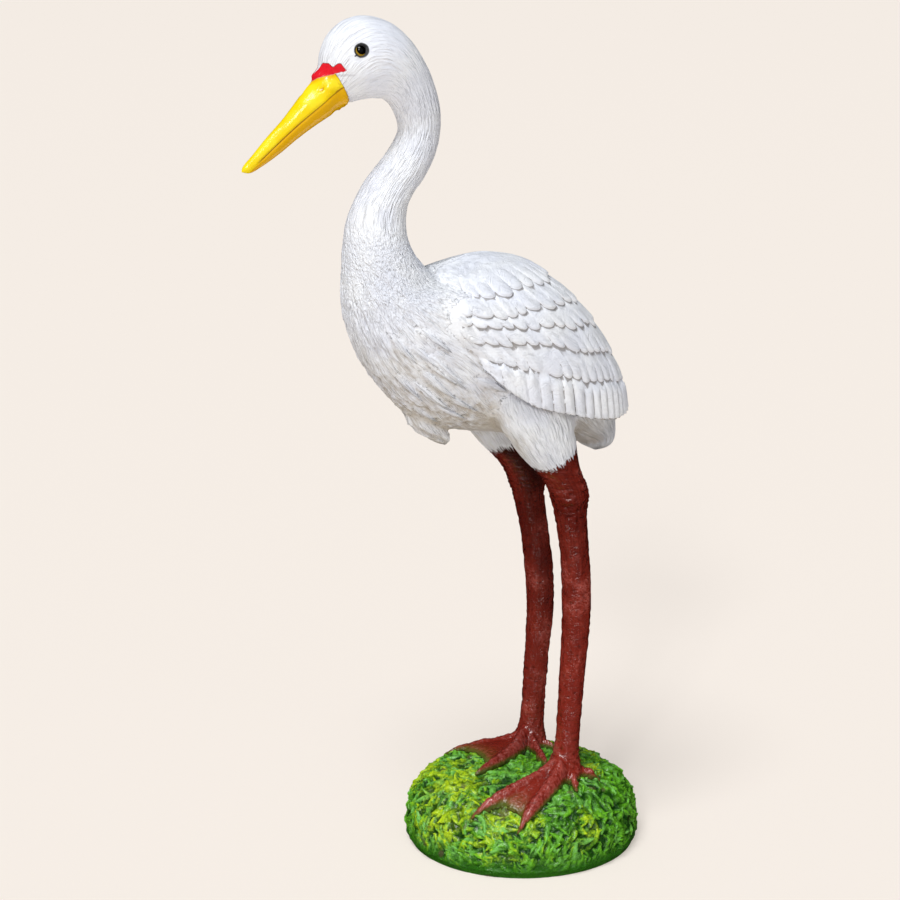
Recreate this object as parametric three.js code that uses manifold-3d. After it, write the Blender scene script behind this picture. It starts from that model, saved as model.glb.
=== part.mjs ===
// Stork garden statue standing on a mound of grass. Millimetres, +Z up.
// The origin is the middle of the mound's flat underside, and the bird looks along -Y.
// Places are written as (left, ahead, up): left is the bird's own left, ahead is where it looks.

import * as THREE from 'three';
import { mergeVertices } from 'three/addons/utils/BufferGeometryUtils.js';
import Module from 'manifold-3d';

const wasm = await Module();
wasm.setup();

// Driving dimensions
const MOUND = { halfWidth: 118, halfLength: 121, height: 79, shoulder: 7, undercut: 4, squareness: 3.2 };
const SEAT_GAP = 0.4;
const EYE = { radius: 7, left: 22.6, ahead: 184, up: 806.5, gap: 0.3 };
const LEG_LEFT = 44;
const RIGHT_LEAN = { ahead: 5.5, middle: 320, reach: 85 };
const FEATHERS = 13;
const COLUMNS = 3 * FEATHERS;
const LIP = 2.6;
const GRASS = 1.9;

// The head, neck, breast, belly and tail as one row of slices, from the face to the tail's end.
// Each slice: ahead and up of its back or top edge, ahead and up of its front or lower edge, half width.
const TRUNK = [
    [210.5, 771, 210.5, 771, 0],
    [222.5, 782.5, 188, 760.5, 12.5],
    [216, 792.5, 182, 760.5, 17.5],
    [213.5, 805.5, 175, 762, 22.5],
    [206, 821.5, 166, 763, 27.5],
    [190, 834.5, 159, 763, 30.5],
    [170, 838.5, 152.5, 762.5, 31.5],
    [146.5, 832.5, 147, 759, 30.5],
    [126.5, 817, 141.5, 753.5, 28],
    [110.5, 794.5, 137.5, 745.5, 25],
    [101, 773.5, 135.5, 738.5, 22.5],
    [95, 752, 135.5, 730.5, 20.5],
    [95.5, 730.5, 140.5, 721.5, 20.8],
    [101, 709, 149, 710, 22],
    [113, 687.5, 160.3, 697, 23.8],
    [124, 673.5, 170.8, 683.5, 25.5],
    [131, 659.5, 180.5, 667.5, 27.5],
    [132.5, 644.5, 187, 652.5, 30],
    [130, 628.5, 190.3, 634.5, 34.5],
    [120.5, 611.5, 191.8, 612.5, 41],
    [97, 591, 192, 587, 49],
    [69, 600, 189.5, 557, 58],
    [32, 606, 178, 522, 66],
    [-3, 593, 158.5, 491, 68],
    [-32, 572, 133, 463.5, 66],
    [-56, 546, 106, 448.5, 60],
    [-76, 516, 66, 439, 52],
    [-89, 486, 22, 432, 43],
    [-96, 458, -20, 423, 34],
    [-99, 431, -58, 416, 26],
    [-96, 413, -66, 411, 20],
    [-81, 404, -81, 404, 0],
];
const TRUNK_AROUND = 28;
const TRUNK_ALONG = 37;
const LEG_AROUND = 9;
const LEG_ALONG = 20;
const MOUND_AROUND = 42;
const MOUND_STEPS = 13;

// The bill, from its root inside the face to its tip, in slices of the same kind
const BILL = [
    [190, 778, 190, 778, 0],
    [211, 788, 187.5, 760.5, 12],
    [225, 777.5, 204, 750.5, 11.5],
    [238, 762, 222, 739, 10],
    [252.5, 745, 238.5, 727.5, 8.5],
    [268.5, 729, 256, 714.5, 7],
    [282.5, 713.5, 272.5, 704, 5],
    [290.5, 704, 284.5, 698.5, 3],
    [293, 699, 293, 699, 0],
];

// The pointed tuft that hangs from the bottom of the breast
const TUFT = [
    [115, 478, 115, 478, 0],
    [98, 465, 131.5, 457, 18],
    [91, 449, 120, 442.5, 15.5],
    [85, 438, 108, 434, 10.5],
    [84, 430.5, 97, 428, 6],
    [89, 425, 89, 425, 0],
];

// One leg with its thigh, as level slices: ahead and up of the middle, half depth, half side
const LEG = [
    [24, 495, 0, 0],
    [24, 481, 36, 20],
    [13.5, 455, 40, 26],
    [4, 433, 35, 25],
    [-5.5, 413, 28, 22.5],
    [-16.2, 396, 20.8, 19.5],
    [-24.5, 382, 18.5, 18],
    [-28, 368, 17.3, 17.3],
    [-29.5, 351, 15.8, 15.5],
    [-34.3, 313, 14.5, 14.5],
    [-37.2, 268, 14.5, 14.5],
    [-36.8, 228, 14, 13.5],
    [-33.5, 183, 12.8, 12.5],
    [-31.3, 148, 12.3, 12],
    [-29, 118, 12.2, 12],
    [-27.5, 99, 13.5, 13.5],
    [-25, 85, 18, 18],
    [-22, 73, 20, 21],
    [-22, 61, 0, 0],
];

// A wing from its top (row 0) to its lower edge: where a row starts at the wing's front edge
// (left, ahead, up), where it meets the other wing on the back (ahead, up) and its half width
const WING = [
    [6, 101, 598, 66, 609, 7],
    [27, 106, 593, 40, 610, 30],
    [44, 116, 585, 4, 602.5, 51],
    [57, 121, 574, -29, 581, 66],
    [63, 119, 562, -53, 559, 73],
    [66.5, 111, 548, -75, 532, 76.5],
    [68, 98, 534, -91, 504, 77.5],
    [69, 87, 525, -99, 487, 77.5],
    [69.5, 83, 518, -104, 472, 76.5],
    [70, 81, 513, -107, 460, 75],
];
const WING_SAG = { drop: 25.5, from: 0.7, peak: 0.42, front: 0.25 };
const ROW_EDGES = [0.34, 0.48, 0.63, 0.79];

// Toes of both feet as plan points from the ankle to the tip (left, ahead), with half width and height
const TOES = [
    { path: [[46, -24], [61, 34], [63, 88]], width: 10.5, height: 15 },
    { path: [[48, -24], [80, 17], [98, 51]], width: 11, height: 15 },
    { path: [[44, -30], [54, -46], [62, -60]], width: 8.5, height: 13 },
    { path: [[48, -28], [70, -24], [84, -18]], width: 7, height: 11 },
    { path: [[-44, -24], [-60, 14], [-76, 52]], width: 11, height: 10 },
    { path: [[-42, -24], [-12, 12], [11, 59]], width: 10.5, height: 14 },
    { path: [[-40, -28], [-4, -22], [25, -15]], width: 8.5, height: 12 },
    { path: [[-42, -32], [-28, -42], [-16, -46]], width: 8.5, height: 13 },
];

const TOE = { narrowing: 0.42, flattening: 0.35, raised: 0.1 };
const WEB = { start: 0.08, hollow: 0.14, sunk: 7, backSkin: 6, frontSkin: 4 };
const WEB_REACH = { left: 0.78, right: 0.6 };
const LOCK = { halfWidth: 7.5, halfThickness: 3.2, length: 1.5, twist: 9, sunk: 2.5, raised: 5.5 };

// Materials
const paint = (color, roughness) => new THREE.MeshStandardMaterial({ color, roughness, metalness: 0 });
const WHITE_PAINT = paint(0xf1f1f4, 0.45);
const GREEN_PAINT = paint(0x2f7d1c, 0.4);
const EYE_GLASS = paint(0x1c120a, 0.08);

// Frames and rows
const at = (left, ahead, up) => new THREE.Vector3(left, -ahead, up);
const mix = THREE.MathUtils.lerp;

function spline(a, b, c, d, f) {
    const start = (c - a) / 2;
    const end = (d - b) / 2;
    const cubic = 2 * b - 2 * c + start + end;
    const square = -3 * b + 3 * c - 2 * start - end;
    return ((cubic * f + square) * f + start) * f + b;
}

// The row at t from 0 to 1 along a list of rows, on a smooth curve through them
function rowAt(rows, t) {
    const last = rows.length - 1;
    const i = Math.min(Math.floor(t * last), last - 1);
    const f = t * last - i;
    const row = (k) => rows[THREE.MathUtils.clamp(k, 0, last)];
    return rows[i].map((_, k) => spline(row(i - 1)[k], row(i)[k], row(i + 1)[k], row(i + 2)[k], f));
}

// Closed shells: a sphere or a box whose points are put in place by a function
function warp(geometry, place) {
    const { position, uv } = geometry.attributes;
    for (let i = 0; i < position.count; i++) {
        const p = place(new THREE.Vector3().fromBufferAttribute(position, i), uv.getX(i), 1 - uv.getY(i));
        position.setXYZ(i, p.x, p.y, p.z);
    }
    return geometry;
}

const shell = (around, along, place) =>
    warp(new THREE.SphereGeometry(1, around, along), (_, u, t) => place(u * 2 * Math.PI, t));

const slab = (columns, rows, place) =>
    warp(new THREE.BoxGeometry(1, 1, 1, columns, rows, 1), (p) => place(p.x + 0.5, 0.5 - p.y, p.z + 0.5));

// A solid from a closed shell, with its faces turned outwards
function solid(geometry) {
    geometry.deleteAttribute('normal');
    geometry.deleteAttribute('uv');
    const merged = mergeVertices(geometry, 1e-3);
    const points = merged.attributes.position;
    const faces = merged.index.array;
    const [a, b, c] = [0, 0, 0].map(() => new THREE.Vector3());
    let volume = 0;
    const kept = [];
    for (let i = 0; i < faces.length; i += 3) {
        const [p, q, r] = faces.slice(i, i + 3);
        if (p === q || q === r || r === p) continue;
        a.fromBufferAttribute(points, p);
        b.fromBufferAttribute(points, q);
        c.fromBufferAttribute(points, r);
        volume += a.dot(b.cross(c));
        kept.push(p, q, r);
    }
    if (volume < 0) kept.reverse();
    const mesh = new wasm.Mesh({
        numProp: 3,
        vertProperties: new Float32Array(points.array),
        triVerts: new Uint32Array(kept),
    });
    return new wasm.Manifold(mesh);
}

function meshOf(name, body, material) {
    const { vertProperties, triVerts } = body.getMesh();
    const geometry = new THREE.BufferGeometry();
    geometry.setAttribute('position', new THREE.BufferAttribute(vertProperties, 3));
    geometry.setIndex(new THREE.BufferAttribute(triVerts, 1));
    geometry.computeVertexNormals();
    const mesh = new THREE.Mesh(geometry, material);
    mesh.name = name;
    return mesh;
}

// The point of a body of slices at t along it and at an angle round it, 0 at its front edge
function slicePoint(rows, t, angle, left = 0, lift = 0) {
    const [backAhead, backUp, frontAhead, frontUp, half] = rowAt(rows, t);
    const depth = at(0, frontAhead - backAhead, frontUp - backUp).multiplyScalar(Math.cos(angle) / 2);
    const side = at(half * Math.sin(angle), 0, 0);
    const out = depth.clone().add(side).normalize().multiplyScalar(lift);
    return at(left, (backAhead + frontAhead) / 2, (backUp + frontUp) / 2).add(depth).add(side).add(out);
}

const sliced = (rows, around, along) => solid(shell(around, along, (angle, t) => slicePoint(rows, t, angle)));

// Legs. The right one leans: its thigh stands further ahead than the left thigh and its shin further back.
function leg(left, lean) {
    const rows = LEG.map(([middle, up, depth, side]) => {
        const shift = THREE.MathUtils.clamp((up - RIGHT_LEAN.middle) / RIGHT_LEAN.reach, -1, 1);
        const ahead = middle + lean * shift;
        return [ahead - depth, up, ahead + depth, up, side];
    });
    return solid(shell(LEG_AROUND, LEG_ALONG, (angle, t) => slicePoint(rows, t, angle, left)));
}

// The mound's upper surface: its height at a place, without the grass
function moundUp(left, ahead) {
    const { halfWidth, halfLength, height, shoulder, squareness } = MOUND;
    const reach = Math.min(Math.hypot(left / halfWidth, ahead / halfLength), 1);
    return shoulder + (height - shoulder) * (1 - reach ** squareness) ** (1 / squareness);
}

// Tufts of grass: crossing waves that lean over each other
function grass(p) {
    const lean = 2.1 * Math.sin(p.y * 0.083 + 0.6);
    const blades = Math.sin(p.x * 0.27 + p.y * 0.11 + lean) * Math.cos(p.y * 0.23 - p.x * 0.07 + lean);
    const tufts = Math.sin(p.x * 0.12 - p.z * 0.19 + 1.3) * Math.sin(p.y * 0.1 + p.z * 0.23);
    return GRASS * (blades + 0.6 * tufts);
}

function mound(grow) {
    const { halfWidth, halfLength, height, shoulder, undercut, squareness } = MOUND;
    const dome = MOUND_STEPS - 2;
    return solid(shell(MOUND_AROUND, MOUND_STEPS, (angle, t) => {
        const step = Math.round(t * MOUND_STEPS);
        if (step > dome) {
            const reach = step === MOUND_STEPS ? 0 : 1;
            return at((halfWidth - undercut) * reach * Math.cos(angle),
                (halfLength - undercut) * reach * Math.sin(angle), 0);
        }
        const rise = (1 - step / dome) * Math.PI / 2;
        const reach = Math.cos(rise) ** (2 / squareness);
        const up = shoulder + (height - shoulder) * Math.sin(rise) ** (2 / squareness);
        const p = at(halfWidth * reach * Math.cos(angle), halfLength * reach * Math.sin(angle), up);
        const share = [p.x / halfWidth, p.y / halfLength, (up - shoulder) / height];
        const out = new THREE.Vector3(...share).normalize();
        const relief = step === dome ? 0 : grass(step === 0 ? at(0, 0, up) : p);
        return p.addScaledVector(out, relief + grow);
    }));
}

// Feet: toes that lie on the mound, and the webs between them
function along(path, t) {
    const [start, middle, end] = path;
    const bend = [0, 1].map((k) => 2 * middle[k] - (start[k] + end[k]) / 2);
    return [0, 1].map((k) => (1 - t) ** 2 * start[k] + 2 * t * (1 - t) * bend[k] + t * t * end[k]);
}

function toe({ path, width, height }) {
    return solid(shell(6, 7, (angle, t) => {
        const [left, ahead] = along(path, t);
        const [nextLeft, nextAhead] = along(path, t + 0.01);
        const across = at(nextAhead - ahead, left - nextLeft, 0).normalize();
        const roundEnds = Math.sqrt(Math.max(0, 1 - t ** 4)) * Math.min(1, t * 12);
        const narrowing = 1 - TOE.narrowing * t;
        const flattening = 1 - TOE.flattening * t;
        const middle = at(left, ahead, moundUp(left, ahead) + TOE.raised * height);
        middle.addScaledVector(across, width * roundEnds * narrowing * Math.cos(angle));
        middle.z += height * roundEnds * narrowing * flattening * Math.sin(angle);
        return middle;
    }));
}

// Its front edge is hollowed between the toes, and its underside is sunk into the mound
function web(first, second, reach) {
    return solid(slab(4, 5, (u, v, w) => {
        const t = mix(WEB.start, reach - WEB.hollow * Math.sin(u * Math.PI), v);
        const [a, b] = [first, second].map((toePath) => along(toePath.path, t));
        const [left, ahead] = [mix(a[0], b[0], u), mix(a[1], b[1], u)];
        const skin = mix(WEB.backSkin, WEB.frontSkin, v);
        return at(left, ahead, moundUp(left, ahead) + mix(-WEB.sunk, skin, w));
    }));
}

// Wings: rows of feathers laid over the back from the shoulder to the wing's lower edge
const WING_INNER = { columns: 6, rows: 4, top: 20, bottom: 5 };

// How far the lower edge sags below its row: steeply from the front edge, most at the peak, little behind
function wingSag(u, v) {
    const front = Math.sin(Math.PI / 2 * Math.min(1, u / WING_SAG.front));
    const behind = Math.sin(Math.PI * Math.max(u, WING_SAG.peak) ** 0.8) ** 0.8;
    return THREE.MathUtils.smoothstep(v, WING_SAG.from, 1) * WING_SAG.drop * front * behind;
}

function wingSurface(side, u, v) {
    const [left, ahead, up, backAhead, backUp, half] = rowAt(WING, Math.min(v, 1));
    const start = -Math.acos(Math.min(left / half, 1));
    const turn = mix(start, Math.PI / 2, u);
    const share = (Math.sin(turn) - Math.sin(start)) / (1 - Math.sin(start));
    const past = Math.max(v - 1, 0) * 150;
    return at(side * (half * Math.cos(turn) - 0.8 * u), mix(ahead, backAhead, share),
        mix(up, backUp, share) - wingSag(u, v) - past);
}

function wingPoint(side, u, v, lift) {
    const step = 0.004;
    const [u0, u1] = [Math.max(u - step, 0), Math.min(u + step, 1)];
    const [v0, v1] = [Math.max(v - step, 0), Math.min(v + step, 1)];
    const alongRow = wingSurface(side, u1, v).sub(wingSurface(side, u0, v));
    const downRow = wingSurface(side, u, v1).sub(wingSurface(side, u, v0));
    const out = downRow.cross(alongRow).normalize().multiplyScalar(side * lift);
    return wingSurface(side, u, v).add(out);
}

// How far round a feather is: 0 at its sides and 1 along its middle
function roundness(u, shift) {
    const f = (u * FEATHERS + shift + 0.001) % 1;
    return 1 - (2 * f - 1) ** 2;
}

// The lines of the wing's grid, from the top down: each is a height on the wing and a lift at u
function wingLines() {
    const lines = [0, 0.17].map((v) => ({ v: () => v, lift: () => LIP }));
    ROW_EDGES.forEach((edge, k) => {
        const shift = (k % 2) / 3;
        const tip = (u) => edge - 0.034 * (1 - roundness(u, shift));
        lines.push({ v: tip, lift: (u) => LIP * (1 + 0.35 * roundness(u, shift)) });
        lines.push({ v: (u) => tip(u) + 0.01, lift: () => 0.3 });
    });
    const barb = (u) => LIP * (0.35 + 1.1 * ((u * FEATHERS + 0.001) % 1));
    [0.87, 1].forEach((edge) => {
        const tip = (u) => edge + (edge === 1 ? 0.022 * roundness(u, 0) : 0);
        lines.push({ v: tip, lift: barb });
    });
    return lines;
}

function wing(side) {
    const lines = wingLines();
    const rows = lines.length - 1;
    return solid(slab(COLUMNS, rows, (u, v, w) => {
        if (w < 0.5) {
            const uIn = Math.round(u * WING_INNER.columns) / WING_INNER.columns;
            const vIn = Math.round(v * WING_INNER.rows) / WING_INNER.rows;
            const depth = mix(WING_INNER.top, WING_INNER.bottom, THREE.MathUtils.smoothstep(vIn, 0.6, 1));
            return wingPoint(side, uIn, vIn, -depth);
        }
        const line = lines[Math.round(v * rows)];
        const column = Math.round(u * COLUMNS) / COLUMNS;
        const edge = Math.min(1, u * 20, (1 - u) * 12 + 0.2);
        return wingPoint(side, u, line.v(column), line.lift(column) * edge);
    }));
}

// Plume locks that hang over the lower breast
function lock(side, row, angle) {
    const last = TRUNK.length - 1;
    return solid(shell(5, 4, (turn, s) => {
        const t = (row + LOCK.length * s) / last;
        const round = THREE.MathUtils.degToRad(angle + LOCK.twist * s) * side;
        const lift = LOCK.raised * s - LOCK.sunk;
        const middle = slicePoint(TRUNK, t, round, 0, lift);
        const out = slicePoint(TRUNK, t, round, 0, lift + 1).sub(middle);
        const ahead = slicePoint(TRUNK, t + 0.002, round, 0, lift).sub(middle).normalize();
        const across = ahead.cross(out).normalize();
        const taper = Math.sin(Math.PI * s ** 0.8);
        return middle.addScaledVector(across, LOCK.halfWidth * taper * Math.cos(turn))
            .addScaledVector(out, LOCK.halfThickness * taper * Math.sin(turn));
    }));
}

function locks() {
    const made = [];
    for (const side of [-1, 1]) {
        for (let k = 0; k < 4; k++) made.push(lock(side, 23.3 + 0.1 * k, 16 + 17 * k));
        for (let k = 0; k < 4; k++) made.push(lock(side, 22.2 + 0.15 * k, 25 + 17 * k));
    }
    return made;
}

// Eyes
const eyeBall = (side, radius) => {
    const ball = new THREE.SphereGeometry(radius, 12, 8);
    const centre = at(side * EYE.left, EYE.ahead, EYE.up);
    return solid(ball.translate(centre.x, centre.y, centre.z));
};

function bird() {
    const legs = [leg(LEG_LEFT, 0), leg(-LEG_LEFT, RIGHT_LEAN.ahead)];
    const webs = [web(TOES[0], TOES[1], WEB_REACH.left), web(TOES[4], TOES[5], WEB_REACH.right)];
    const parts = [sliced(BILL, 12, 10), sliced(TUFT, 10, 6), wing(1), wing(-1),
        ...legs, ...TOES.map(toe), ...webs, ...locks()];
    let body = sliced(TRUNK, TRUNK_AROUND, TRUNK_ALONG);
    for (const part of parts) body = body.add(part);
    for (const side of [-1, 1]) body = body.subtract(eyeBall(side, EYE.radius + EYE.gap));
    return body.subtract(mound(SEAT_GAP));
}

const statue = new THREE.Group();
statue.add(meshOf('stork', bird(), WHITE_PAINT));
statue.add(meshOf('grass_mound', mound(0), GREEN_PAINT));
statue.add(meshOf('eye_left', eyeBall(1, EYE.radius), EYE_GLASS));
statue.add(meshOf('eye_right', eyeBall(-1, EYE.radius), EYE_GLASS));

export default statue;
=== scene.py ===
from math import cos, hypot, pi, radians, sin
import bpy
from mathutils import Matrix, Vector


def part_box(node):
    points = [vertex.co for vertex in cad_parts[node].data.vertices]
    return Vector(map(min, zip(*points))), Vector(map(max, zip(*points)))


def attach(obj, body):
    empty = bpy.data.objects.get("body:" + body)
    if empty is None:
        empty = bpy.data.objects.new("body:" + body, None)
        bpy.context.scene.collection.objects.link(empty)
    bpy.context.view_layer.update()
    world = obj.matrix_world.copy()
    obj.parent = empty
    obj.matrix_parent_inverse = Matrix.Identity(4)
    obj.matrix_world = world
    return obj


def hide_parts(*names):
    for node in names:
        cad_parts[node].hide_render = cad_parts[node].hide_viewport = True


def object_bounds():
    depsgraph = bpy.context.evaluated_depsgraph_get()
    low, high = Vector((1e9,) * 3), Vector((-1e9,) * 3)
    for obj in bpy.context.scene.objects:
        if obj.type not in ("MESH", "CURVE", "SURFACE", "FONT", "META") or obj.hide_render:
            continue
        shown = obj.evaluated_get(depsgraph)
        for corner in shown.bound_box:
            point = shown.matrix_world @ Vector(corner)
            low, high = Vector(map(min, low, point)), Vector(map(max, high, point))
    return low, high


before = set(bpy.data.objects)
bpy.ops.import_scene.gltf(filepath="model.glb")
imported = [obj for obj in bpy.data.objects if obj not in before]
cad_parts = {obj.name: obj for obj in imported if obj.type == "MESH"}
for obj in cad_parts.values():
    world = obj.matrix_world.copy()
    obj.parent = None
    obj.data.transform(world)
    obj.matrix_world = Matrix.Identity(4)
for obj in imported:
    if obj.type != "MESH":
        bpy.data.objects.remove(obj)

from types import SimpleNamespace as Sizes

import bpy
import numpy as np
from mathutils import Matrix, Vector
from mathutils.kdtree import KDTree

cad_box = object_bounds()
bpy.ops.object.select_all(action="DESELECT")

# The bluish green is partly a painted sheen on the higher blades, and the yellow partly painted light on the
# top and front.
# The grass mound: a heavy low dome cast flat below, its surface modelled in short brushed blades of grass.
# It is painted dark green, then dry-brushed with leaf green, bluish green and yellow on the raised blades.
# Tables here and below are in millimetres as (left, ahead, up); left is the bird's own left.
MM = 0.001
MOUND = Sizes(half_width=118, half_length=121, height=79, shoulder=7, undercut=4, squareness=3.2)
BLADE = Sizes(count=2100, length=(5, 14), half_width=(1.8, 4.2), height=3.0, tallness=(0.45, 1), bend=0.014,
             least_up=4, swirl=70, scatter=38, reach=9)
RELIEF = Sizes(wave=1.425, tufts=0.6, blades=1.35, sunk=2.2, edge=0.35)
DOME_SHARE = 0.9


def read(items, field, width=1, kind=np.float32):
    """One field of every item of a mesh, as rows of numbers."""
    values = np.empty(len(items) * width, kind)
    items.foreach_get(field, values)
    return values.reshape(-1, width).squeeze()


def points_of(piece):
    """A piece's points as rows of x, y, z in metres."""
    return read(piece.data.vertices, "co", 3).astype(float)


def set_points(piece, points):
    piece.data.vertices.foreach_set("co", np.ascontiguousarray(points, float).ravel())
    piece.data.update()


def normals_of(piece):
    return read(piece.data.vertex_normals, "vector", 3).astype(float)


def store(piece, name, values):
    """Stores numbers, or rows of three, on the points of a piece."""
    values = np.asarray(values, np.float32)
    kind, field = ("FLOAT_VECTOR", "vector") if values.ndim == 2 else ("FLOAT", "value")
    attribute = piece.data.attributes.get(name) or piece.data.attributes.new(name, kind, "POINT")
    attribute.data.foreach_set(field, np.ascontiguousarray(values).ravel())


def ramp(x, low, high):
    """0 below low and 1 above high, smooth between them."""
    share = np.clip((x - low) / (high - low), 0, 1)
    return share * share * (3 - 2 * share)


def mix(a, b, share):
    return a + (b - a) * share


def unit(rows, least=0.0):
    """Rows scaled to a length of one."""
    return rows / (np.linalg.norm(rows, axis=-1, keepdims=True) + least)


def thin_out(piece, most):
    """Merges a piece's flattest triangles until this many are left, and shades it smooth."""
    piece.data.calc_loop_triangles()
    thin = piece.modifiers.new("thin", "DECIMATE")
    thin.ratio = min(1, most / len(piece.data.loop_triangles))
    bpy.context.view_layer.objects.active = piece
    bpy.ops.object.modifier_apply(modifier="thin")
    for polygon in piece.data.polygons:
        polygon.use_smooth = True


SHUFFLED = np.random.default_rng(11).permutation(256)
SLOPES = unit(np.random.default_rng(12).normal(size=(256, 3)))


def noise(points):
    """Smooth bumps between about -1 and 1, one to each unit of the points' own scale."""
    cell = np.floor(points).astype(int)
    part = points - cell
    ease = part * part * part * (part * (part * 6 - 15) + 10)
    total = np.zeros(len(points))
    for corner in np.ndindex(2, 2, 2):
        x, y, z = ((cell + corner) & 255).T
        slope = SLOPES[SHUFFLED[(SHUFFLED[(SHUFFLED[x] + y) & 255] + z) & 255]]
        weight = np.prod(np.where(corner, ease, 1 - ease), axis=1)
        total += weight * ((part - corner) * slope).sum(1)
    return total * 1.6


def mound_up(left, ahead):
    """Height of the mound's upper surface at a place, without the grass."""
    reach = np.hypot(left / MOUND.half_width, ahead / MOUND.half_length)
    q = MOUND.squareness
    dome = (1 - np.minimum(reach, 1) ** q) ** (1 / q)
    return MOUND.shoulder + (MOUND.height - MOUND.shoulder) * dome


def shape_mound(piece):
    """Turns a round ball into the dome: its lower tenth becomes the flat underside."""
    ball = unit(points_of(piece))
    turn = np.arctan2(ball[:, 1], ball[:, 0])
    area = (1 - ball[:, 2]) / 2
    q, shoulder = MOUND.squareness, MOUND.shoulder
    rise = np.linspace(pi / 2, 0, 400)
    reach = np.append(np.cos(rise) ** (2 / q), 1 - MOUND.undercut / MOUND.half_width)
    up = np.append(shoulder + (MOUND.height - shoulder) * np.sin(rise) ** (2 / q), 0)
    step = np.hypot(np.diff(reach) * MOUND.half_width, np.diff(up))
    swept = np.append(0, np.cumsum(step * (reach[1:] + reach[:-1]) / 2))
    share = area / DOME_SHARE * swept[-1]
    below = area > DOME_SHARE
    out = np.where(below, reach[-1] * np.sqrt((1 - area) / (1 - DOME_SHARE)), np.interp(share, swept, reach))
    height = np.where(below, 0, np.interp(share, swept, up))
    x = MOUND.half_width * out * np.cos(turn)
    y = MOUND.half_length * out * np.sin(turn)
    set_points(piece, np.stack([x, y, height], 1) * MM)


def brush_blades(points, normals, rng):
    """Short curved blades laid over each other: each point's height over the ground and its tone."""
    height = np.zeros(len(points))
    shade = np.full(len(points), 0.5)
    starts = rng.choice(np.flatnonzero(points[:, 2] > BLADE.least_up), BLADE.count)
    by_left = np.argsort(points[:, 0])
    lefts = points[by_left, 0]
    for start in starts:
        centre, out = points[start], normals[start]
        outward = np.array([centre[0], centre[1], 0.3 * hypot(centre[0], centre[1])])
        swirl = radians(BLADE.swirl) * sin(centre[0] / 31 + 2.0) * cos(centre[1] / 27)
        swirl += rng.normal(0, radians(BLADE.scatter))
        along = outward - out * (outward @ out)
        along /= np.linalg.norm(along) + 1e-9
        across = np.cross(out, along)
        along, across = along * cos(swirl) + across * sin(swirl), across * cos(swirl) - along * sin(swirl)
        half, wide = rng.uniform(*BLADE.length), rng.uniform(*BLADE.half_width)
        bend, tone, tall = rng.normal(0, BLADE.bend), rng.uniform(0, 1), rng.uniform(*BLADE.tallness)
        slab = by_left[slice(*np.searchsorted(lefts, (centre[0] - half - 2, centre[0] + half + 2)))]
        near = slab[(np.abs(points[slab] - centre) < half + 2).all(1)]
        away = points[near] - centre
        a = away @ along / half
        b = away @ across - bend * (away @ along) ** 2
        taper = wide * np.sqrt(np.clip(1 - a * a, 0, 1)) * (1 - 0.45 * a)
        body = np.clip(1 - (b / np.maximum(taper, 1e-3)) ** 2, 0, 1)
        body = np.sqrt(body) * (0.55 + 0.45 * a) * BLADE.height * tall * (np.abs(a) < 1)
        body *= np.abs(away @ out) < BLADE.reach
        higher = body > height[near]
        height[near[higher]] = body[higher]
        shade[near[higher]] = tone
    return height, shade


bpy.ops.mesh.primitive_ico_sphere_add(subdivisions=8, radius=1)
mound = bpy.context.object
mound.name = "painted_grass_mound"
shape_mound(mound)
ground = points_of(mound) / MM
ground_out = normals_of(mound)
blades, shade = brush_blades(ground, ground_out, np.random.default_rng(5))
gx, gy, gz = ground.T
lean = 2.1 * np.sin(gy * 0.083 + 0.6)
wave = np.sin(gx * 0.27 + gy * 0.11 + lean) * np.cos(gy * 0.23 - gx * 0.07 + lean)
tufts = np.sin(gx * 0.12 - gz * 0.19 + 1.3) * np.sin(gy * 0.1 + gz * 0.23)
low_band = ramp(gz, 3, 22)
crumbs = 0.7 * noise(ground / 5) + 0.8 * (1 - 2 * np.abs(noise(ground / 9 + 4)))
relief = RELIEF.wave * (wave + RELIEF.tufts * tufts) + RELIEF.blades * blades - RELIEF.sunk + crumbs
relief = relief * mix(RELIEF.edge, 1, low_band) * ramp(gz, -0.5, 2.5)
ground = ground + ground_out * relief[:, None]
low, high = (np.array(corner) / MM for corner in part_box("grass_mound"))
set_points(mound, np.clip(ground, low, high) * MM)
store(mound, "blade", blades / BLADE.height)
store(mound, "shade", shade)
thin_out(mound, most=190000)


def maths(operation, turned=False):
    """A way to write maths on shades, such as a sum, that becomes a node of their finish."""
    def written(self, other=0.0):
        first, second = (other, self) if turned else (self, other)
        return self.finish.node("Math", {"operation": operation}, {0: first, 1: second})
    return written


class Shade:
    """A number or a colour at each point of a surface."""
    __add__, __sub__, __mul__ = maths("ADD"), maths("SUBTRACT"), maths("MULTIPLY")
    __truediv__, __pow__ = maths("DIVIDE"), maths("POWER")
    __rsub__, __rmul__ = maths("SUBTRACT", True), maths("MULTIPLY", True)
    low, high, wave, size = maths("MINIMUM"), maths("MAXIMUM"), maths("SINE"), maths("ABSOLUTE")

    def __init__(self, finish, socket):
        self.finish, self.socket = finish, socket

    def __radd__(self, other):
        return self if other == 0 else self + other

    def step(self, start, end):
        """0 below start and 1 above end, smooth between them."""
        settings = {"interpolation_type": "SMOOTHSTEP"}
        return self.finish.node("MapRange", settings, {0: self, 1: start, 2: end, 3: 0.0, 4: 1.0})

    def covered(self, share, paint):
        """This colour with a share of another paint over it."""
        return self.finish.blend(share, self, paint)


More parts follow.
